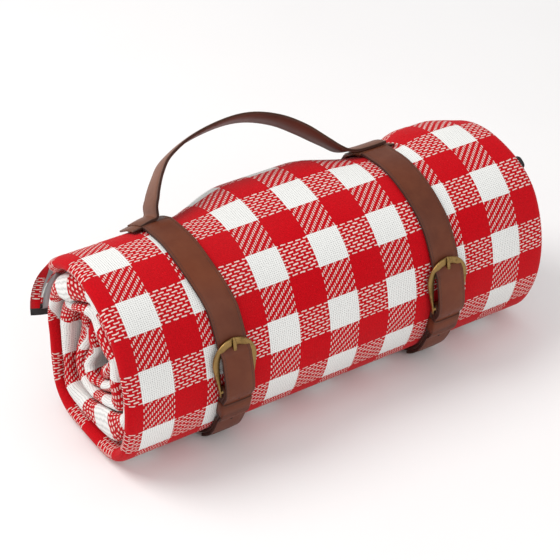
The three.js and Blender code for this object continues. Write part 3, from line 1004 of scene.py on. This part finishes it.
# %% Buckle frames
FRAME_THICKNESS = 3.0 * MM
FRAME_INSIDE = 14.8 * MM
FRAME_LIMB = 6.0 * MM
FRAME_HALF = FRAME_INSIDE + FRAME_LIMB
HEEL_REACH = 4.5 * MM
TOE_CENTRE = 51 * MM - HEEL_REACH - FRAME_HALF
CROSSING = TOE_CENTRE + math.sqrt(FRAME_INSIDE ** 2 - STRAP_HALF ** 2)
BAR_RADIUS = 1.7 * MM


def frame_matrix(side):
    bar = on_roll(STRAP_AT[side], BAR_ALONG, BAR_HEIGHT)
    toe = on_roll(STRAP_AT[side], BAR_ALONG + CROSSING, STAND_HEIGHT + GAP + FRAME_THICKNESS / 2)
    up = (toe - bar).normalized()
    across = Vector((1, 0, 0))
    turn = Matrix((across, up, across.cross(up))).transposed().to_4x4()
    return Matrix.Translation(bar) @ turn


def oval(half_width, half_height, count, flat=0.55):
    """A flattened ring of points, squarer than an ellipse."""
    points = []
    for step in range(count):
        angle = 2 * math.pi * step / count
        wide, high = math.cos(angle), math.sin(angle)
        points.append((
            half_width * math.copysign(abs(wide) ** flat, wide),
            half_height * math.copysign(abs(high) ** flat, high),
        ))
    return points


def frame_places():
    centre = []
    limb_steps = 9
    for step in range(limb_steps):
        share = step / limb_steps
        width = mix(1.6 * MM, FRAME_LIMB, smooth(0, 1.1, share))
        inner = mix(FRAME_INSIDE - 0.2 * MM, FRAME_INSIDE, share)
        centre.append((inner + width / 2, mix(-HEEL_REACH, TOE_CENTRE, share), width, 1.0))
    arc_steps = 40
    for step in range(arc_steps + 1):
        angle = math.pi * step / arc_steps
        width = FRAME_LIMB + 0.7 * MM * math.sin(angle) ** 2
        radius = FRAME_INSIDE + width / 2
        notch = math.exp(-((angle - math.pi / 2) * radius / (1.7 * MM)) ** 2)
        centre.append((radius * math.cos(angle), TOE_CENTRE + radius * math.sin(angle), width, 1 - 0.5 * notch))
    left = [(-x, y, width, flat) for x, y, width, flat in reversed(centre[:limb_steps])]
    centre += left
    places = []
    for index, (x, y, width, flat) in enumerate(centre):
        before = centre[max(index - 1, 0)]
        after = centre[min(index + 1, len(centre) - 1)]
        ahead = Vector((after[0] - before[0], after[1] - before[1], 0)).normalized()
        height = Vector((0, 0, 1))
        side = ahead.cross(height)
        turn = Matrix((side, ahead, height)).transposed().to_4x4()
        size = Matrix.Diagonal((width / FRAME_LIMB, 1, flat, 1))
        places.append(Matrix.Translation((x, y, -(1 - flat) * FRAME_THICKNESS / 2)) @ turn @ size)
    return places


def make_frame(side):
    placed = frame_matrix(side)
    mesh = strip(oval(FRAME_LIMB / 2, FRAME_THICKNESS / 2, 16), [placed @ place for place in frame_places()])
    bmesh.ops.create_cone(
        mesh, cap_ends=True, segments=20, radius1=BAR_RADIUS, radius2=BAR_RADIUS, depth=2 * FRAME_INSIDE + 2 * MM,
        matrix=placed @ Matrix.Rotation(math.radians(90), 4, "Y"),
    )
    return new_piece("buckle_piece_" + side, mesh, (brass,), "buckle_" + side, ("buckle_frame_" + side,))


for side in ("left", "right"):
    make_frame(side)

# %% [markdown]
# The prong is a finger of the same brass. It wraps round the bar, runs up under the strap, comes out
# just below the toe and rests in the toe's notch, with a slightly bent, rounded tip.

# %% Prongs
PRONG_HALF = 1.7 * MM
PRONG_LINE = (
    (2.6, 1.0, 1.0), (8.0, 1.2, 1.0), (20.0, 1.5, 1.0), (30.0, 1.9, 1.0), (36.0, 2.1, 1.0),
    (40.0, 2.0, 1.0), (43.0, 1.7, 0.95), (45.6, 1.2, 0.85), (47.4, 0.6, 0.6), (48.0, 0.3, 0.25),
)


def make_prong(side):
    placed = frame_matrix(side)
    places = []
    for index, (reach, height, size) in enumerate(PRONG_LINE):
        before = PRONG_LINE[max(index - 1, 0)]
        after = PRONG_LINE[min(index + 1, len(PRONG_LINE) - 1)]
        ahead = Vector((0, after[0] - before[0], after[1] - before[1])).normalized()
        across = Vector((1, 0, 0))
        turn = Matrix((across, ahead, across.cross(ahead))).transposed().to_4x4()
        spot = Matrix.Translation(Vector((0, reach, height)) * MM)
        places.append(placed @ spot @ turn @ Matrix.Diagonal((size, 1, size, 1)))
    mesh = strip(oval(PRONG_HALF, 1.0 * MM, 12, 0.7), places)
    ring = oval(PRONG_HALF, 0.55 * MM, 10, 0.7)
    around = []
    for step in range(21):
        angle = 2 * math.pi * step / 20
        spot = Vector((0, math.cos(angle), math.sin(angle))) * 2.6 * MM
        ahead = Vector((0, -math.sin(angle), math.cos(angle)))
        across = Vector((1, 0, 0))
        turn = Matrix((across, ahead, across.cross(ahead))).transposed().to_4x4()
        around.append(placed @ Matrix.Translation(spot) @ turn)
    eye = strip(ring, around)
    data = bpy.data.meshes.new("prong eye")
    eye.to_mesh(data)
    eye.free()
    mesh.from_mesh(data)
    bpy.data.meshes.remove(data)
    return new_piece("prong_piece_" + side, mesh, (brass,), "prong_" + side, ("buckle_prong_" + side,))


for side in ("left", "right"):
    make_prong(side)

# %% [markdown]
# The keeper and the handle's loops are short strips bent round the strap. They are bent flat first, in
# a plane with the distance along the strap as one side, and then laid on the roll's curve.

# %% Bands round the strap
def band_places(path):
    """Matrices for a band whose width runs along the strap; path is (across, height) points."""
    places = []
    for index, (across, height) in enumerate(path):
        before = path[max(index - 1, 0)]
        after = path[min(index + 1, len(path) - 1)]
        ahead = Vector((after[0] - before[0], 0, after[1] - before[1])).normalized()
        width = Vector((0, 1, 0))
        turn = Matrix((width, ahead, width.cross(ahead))).transposed().to_4x4()
        places.append(Matrix.Translation((across, 0, height)) @ turn)
    return places


def corner_points(x, height, radius, from_angle, to_angle, steps=6):
    points = []
    for step in range(steps + 1):
        angle = math.radians(mix(from_angle, to_angle, step / steps))
        points.append((x + radius * math.cos(angle), height + radius * math.sin(angle)))
    return points


def lay_on_roll(mesh, across, along):
    for vert in mesh.verts:
        vert.co = on_roll(vert.co.x + across, along + vert.co.y, vert.co.z)


def band_outline(half, thickness):
    edge = 0.4 * MM
    return [
        (half, thickness * 0.5), (half - edge * 0.4, thickness * 0.9), (half - edge, thickness),
        (half - 1.9 * MM, thickness), (half - 2.4 * MM, thickness - 0.15 * MM), (half - 2.9 * MM, thickness),
        (0, thickness + 0.1 * MM),
        (-half + 2.9 * MM, thickness), (-half + 2.4 * MM, thickness - 0.15 * MM), (-half + 1.9 * MM, thickness),
        (-half + edge, thickness), (-half + edge * 0.4, thickness * 0.9), (-half, thickness * 0.5),
        (-half + edge, 0), (0, 0), (half - edge, 0),
    ]


KEEPER_THICKNESS = 1.8 * MM
KEEPER_TOP = STAND_HEIGHT + 2 * (PLY_STACK + GAP) + 2.5 * GAP
KEEPER_SIDE = STRAP_HALF + GAP


def make_keeper(side):
    corner = 2.2 * MM
    path = [(-KEEPER_SIDE, GAP), (-KEEPER_SIDE, 3 * MM)]
    path += corner_points(-KEEPER_SIDE + corner, KEEPER_TOP - corner, corner, 180, 90)
    path += [(-6 * MM, KEEPER_TOP + 0.15 * MM), (0, KEEPER_TOP + 0.25 * MM), (6 * MM, KEEPER_TOP + 0.15 * MM)]
    path += corner_points(KEEPER_SIDE - corner, KEEPER_TOP - corner, corner, 90, 0)
    path += [(KEEPER_SIDE, 3 * MM), (KEEPER_SIDE, GAP)]
    mesh = strip(band_outline(KEEPER_WIDTH / 2, KEEPER_THICKNESS), band_places(path))
    lay_on_roll(mesh, STRAP_AT[side], KEEPER_ALONG)
    return new_piece("keeper_piece_" + side, mesh, (keeper_leather,), "carrier", ("keeper_" + side,))


# The keeper's dark edges are partly its burnished cut edges and partly painted shade, for the dark gap along its lip.
keeper_leather = make_leather(
    "keeper leather", LEATHER_DEEP, LEATHER_MID, LEATHER_RUBBED, 0.45, KEEPER_WIDTH / 2
)
for side in ("left", "right"):
    make_keeper(side)

LOOP_THICKNESS = 1.4 * MM
LOOP_REACH = 8 * MM
LOOP_SIDE = STRAP_HALF + 0.8 * MM
LOOP_INNER_TOP = 4.9 * MM


def make_loop(side):
    sign = -1 if side == "left" else 1
    far = LOOP_SIDE + LOOP_REACH
    near = LOOP_SIDE
    corner = 0.9 * MM
    low = GAP + LOOP_THICKNESS
    path = [(0, low), (far - corner, low)]
    path += corner_points(far - corner, low + corner, corner, -90, 80)
    path += [(near + 1 * MM, LOOP_INNER_TOP - 0.5 * MM), (near - 2 * MM, LOOP_INNER_TOP), (-8 * MM, LOOP_INNER_TOP)]
    corner = 1.7 * MM
    path += corner_points(-near + corner, LOOP_INNER_TOP - corner, corner, 90, 180)
    path += corner_points(-near + corner, low + corner, corner, 180, 270)
    path += [(0, low)]
    path = [(sign * across, height) for across, height in path]
    if sign > 0:
        path.reverse()
    outline = [(across, height) for across, height in band_outline(HANDLE_HALF, LOOP_THICKNESS)]
    mesh = strip(outline, band_places(path))
    lay_on_roll(mesh, STRAP_AT[side] + STRAP_DRIFT[side], HANDLE_ALONG)
    return new_piece(
        "handle_loop_piece_" + side, mesh, (handle_leather,), "carrier", ("handle_loop_" + side,)
    )


for side in ("left", "right"):
    make_loop(side)

# %% [markdown]
# The handle is one strip with a lining. Each foot lies outwards over its loop, turns up through a tight
# bend, and rises into an arch that leans back and hangs over to the right.

# %% The handle's path
HANDLE_PLY = 1.3 * MM
HANDLE_LINING = 1.2 * MM
HANDLE_LEAN = math.radians(42)
LOOP_TOP = LOOP_INNER_TOP + LOOP_THICKNESS
PIVOT_HEIGHT = LOOP_TOP + 0.5 * MM + HANDLE_HALF
FOOT_BEND = 4.0 * MM
FOOT_REACH = 14 * MM
HANDLE_RISE = 50 * MM
LEFT_FOOT = 1.04
HANDLE_SHAPE = (
    (-1.04, -0.19), (-1.03, -0.1), (-1.005, 0.0), (-0.965, 0.14), (-0.885, 0.36), (-0.78, 0.57), (-0.58, 0.76),
    (-0.36, 0.86), (-0.12, 0.89), (0.08, 0.82), (0.28, 0.63), (0.44, 0.37), (0.55, 0.14), (0.64, -0.05),
    (0.72, -0.18), (0.81, -0.25), (0.92, -0.27), (1.1, -0.27),
)
SPAN = (STRAP_AT["right"] - STRAP_AT["left"]) / 2
SPAN_MIDDLE = (STRAP_AT["right"] + STRAP_AT["left"]) / 2
LOOP_HEADING = section_at(HANDLE_ALONG)[1]
LOOP_LEAN = LOOP_HEADING - math.pi
PIVOT = on_roll(SPAN_MIDDLE, HANDLE_ALONG, PIVOT_HEIGHT)


def curve_through(points, steps):
    """A smooth curve through points, a few steps between each pair."""
    fine = []
    for index in range(len(points) - 1):
        p0, p1 = points[max(index - 1, 0)], points[index]
        p2, p3 = points[index + 1], points[min(index + 2, len(points) - 1)]
        for step in range(steps):
            t = step / steps
            fine.append(tuple(
                0.5 * (2 * b + (c - a) * t + (2 * a - 5 * b + 4 * c - d) * t * t + (3 * b - a - 3 * c + d) * t ** 3)
                for a, b, c, d in zip(p0, p1, p2, p3)
            ))
    fine.append(tuple(points[-1]))
    return fine


def handle_path():
    """(x, rise) points; rise is measured from the pivots' line, up the handle's own plane."""
    floor = LOOP_TOP + 0.3 * MM - PIVOT_HEIGHT
    foot_x = -SPAN * LEFT_FOOT - FOOT_BEND
    foot = [(foot_x - FOOT_REACH, floor - 2.2 * MM), (foot_x - 7 * MM, floor - 0.8 * MM), (foot_x - 2 * MM, floor)]
    foot += corner_points(foot_x, floor + FOOT_BEND, FOOT_BEND, -90, 0)
    arch = [(share * SPAN, rise * HANDLE_RISE) for share, rise in HANDLE_SHAPE]
    return foot + curve_through(arch, 5)[1:]


def handle_places():
    path = handle_path()
    points, leans = [], []
    for x, rise in path:
        lean = mix(LOOP_LEAN, HANDLE_LEAN, smooth(-12 * MM, 22 * MM, rise))
        leans.append(lean)
        height = Vector((0, math.sin(HANDLE_LEAN), math.cos(HANDLE_LEAN))) * max(rise, 0)
        depth = Vector((0, math.sin(LOOP_LEAN), math.cos(LOOP_LEAN))) * min(rise, 0)
        points.append(PIVOT + height + depth + Vector((x, 0, 0)))
    places = []
    for index, point in enumerate(points):
        ahead = (points[min(index + 1, len(points) - 1)] - points[max(index - 1, 0)]).normalized()
        width = Vector((0, -math.cos(leans[index]), math.sin(leans[index])))
        width = (width - ahead * width.dot(ahead)).normalized()
        turn = Matrix((width, ahead, width.cross(ahead))).transposed().to_4x4()
        places.append(Matrix.Translation(point) @ turn)
    return places


HANDLE_PLACES = handle_places()


def settle_feet(mesh):
    """The feet take the curve of the roll that they lie on."""
    base = on_roll(0, HANDLE_ALONG, 0)
    out = outward(LOOP_HEADING)
    along = forward(LOOP_HEADING)
    for vert in mesh.verts:
        height = (vert.co - base).dot(out)
        width = (vert.co - base).dot(along)
        vert.co -= out * (width * width / (2 * UPPER_RADIUS)) * smooth(15 * MM, 8 * MM, height)


def join_handle(piece):
    low = on_roll(SPAN_MIDDLE, HANDLE_ALONG, 9 * MM)
    high = on_roll(SPAN_MIDDLE, HANDLE_ALONG, 34 * MM)
    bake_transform(piece)


HANDLE_STACK = HANDLE_PLY + PLY_GAP + HANDLE_LINING
sign = 1 if HANDLE_PLACES[len(HANDLE_PLACES) // 2].to_3x3().col[2].z > 0 else -1
outer_low, outer_high = HANDLE_STACK / 2 - HANDLE_PLY, HANDLE_STACK / 2
outline = [(across, sign * height) for across, height in strap_outline(HANDLE_HALF, outer_low, outer_high, 0.3 * MM)]
mesh = strip(outline, HANDLE_PLACES)
settle_feet(mesh)
handle_strip = new_piece("handle_strip_piece", mesh, (handle_leather,), instead=("handle_strip",))
join_handle(handle_strip)
outline = [
    (across, sign * (height - HANDLE_STACK / 2))
    for across, height in strap_outline(HANDLE_HALF - 0.2 * MM, 0, HANDLE_LINING, 0.0, groove=0.0)
]
mesh = strip(outline, HANDLE_PLACES)
settle_feet(mesh)
handle_lining = new_piece("handle_lining_piece", mesh, (lining_leather,), instead=("handle_lining",))
join_handle(handle_lining)

mesh = bmesh.new()
rows_at = HANDLE_HALF - 2.4 * MM
made = sum(stitch_row(mesh, HANDLE_PLACES, edge * rows_at, sign * HANDLE_STACK / 2) for edge in (-1, 1))
settle_feet(mesh)
handle_stitches = new_piece("handle_stitches", mesh, (thread,))
join_handle(handle_stitches)
print(made, "stitches on the handle")

# %% [markdown]
# The roll lies on a plain, flat, pale floor, and there is no horizon. One big soft light hangs high on the
# left and behind, and a pale surround fills the shadows.

# %% Floor and lights
def make_floor():
    mesh = bmesh.new()
    bmesh.ops.create_grid(mesh, x_segments=1, y_segments=1, size=6)
    data = bpy.data.meshes.new("floor")
    mesh.to_mesh(data)
    mesh.free()
    floor = bpy.data.objects.new("floor", data)
    bpy.context.scene.collection.objects.link(floor)
    recipe = Recipe("pale floor")
    paper = recipe.noise(recipe.place(), 3.0, 2.0)
    recipe.finish(
        Base_Color=recipe.colours(paper, srgb(240, 238, 238), srgb(246, 245, 245)),
        Roughness=0.7,
        Specular_IOR_Level=0.2,
    )
    data.materials.append(recipe.material)
    return floor


def make_light(name, place, target, size, power, colour):
    data = bpy.data.lights.new(name, "AREA")
    data.shape = "DISK"
    data.size = size
    data.energy = power
    data.color = colour
    light = bpy.data.objects.new(name, data)
    bpy.context.scene.collection.objects.link(light)
    aim = (Vector(target) - Vector(place)).to_track_quat("-Z", "Y")
    light.matrix_world = Matrix.Translation(place) @ aim.to_matrix().to_4x4()
    return light


make_floor()
make_light("key", (-1.1, 0.7, 1.7), (0, 0, 0.08), 1.2, 24, (1.0, 0.99, 0.97))
make_light("fill", (0.2, -1.9, 1.3), (0, 0, 0.08), 1.6, 9, (0.98, 0.99, 1.0))
bpy.context.scene.view_settings.view_transform = "Standard"
world = bpy.data.worlds.new("surround")
bpy.context.scene.world = world
world.use_nodes = True
world.node_tree.nodes["Background"].inputs[0].default_value = (1, 1, 1, 1)
world.node_tree.nodes["Background"].inputs[1].default_value = 0.72

# %% Finish
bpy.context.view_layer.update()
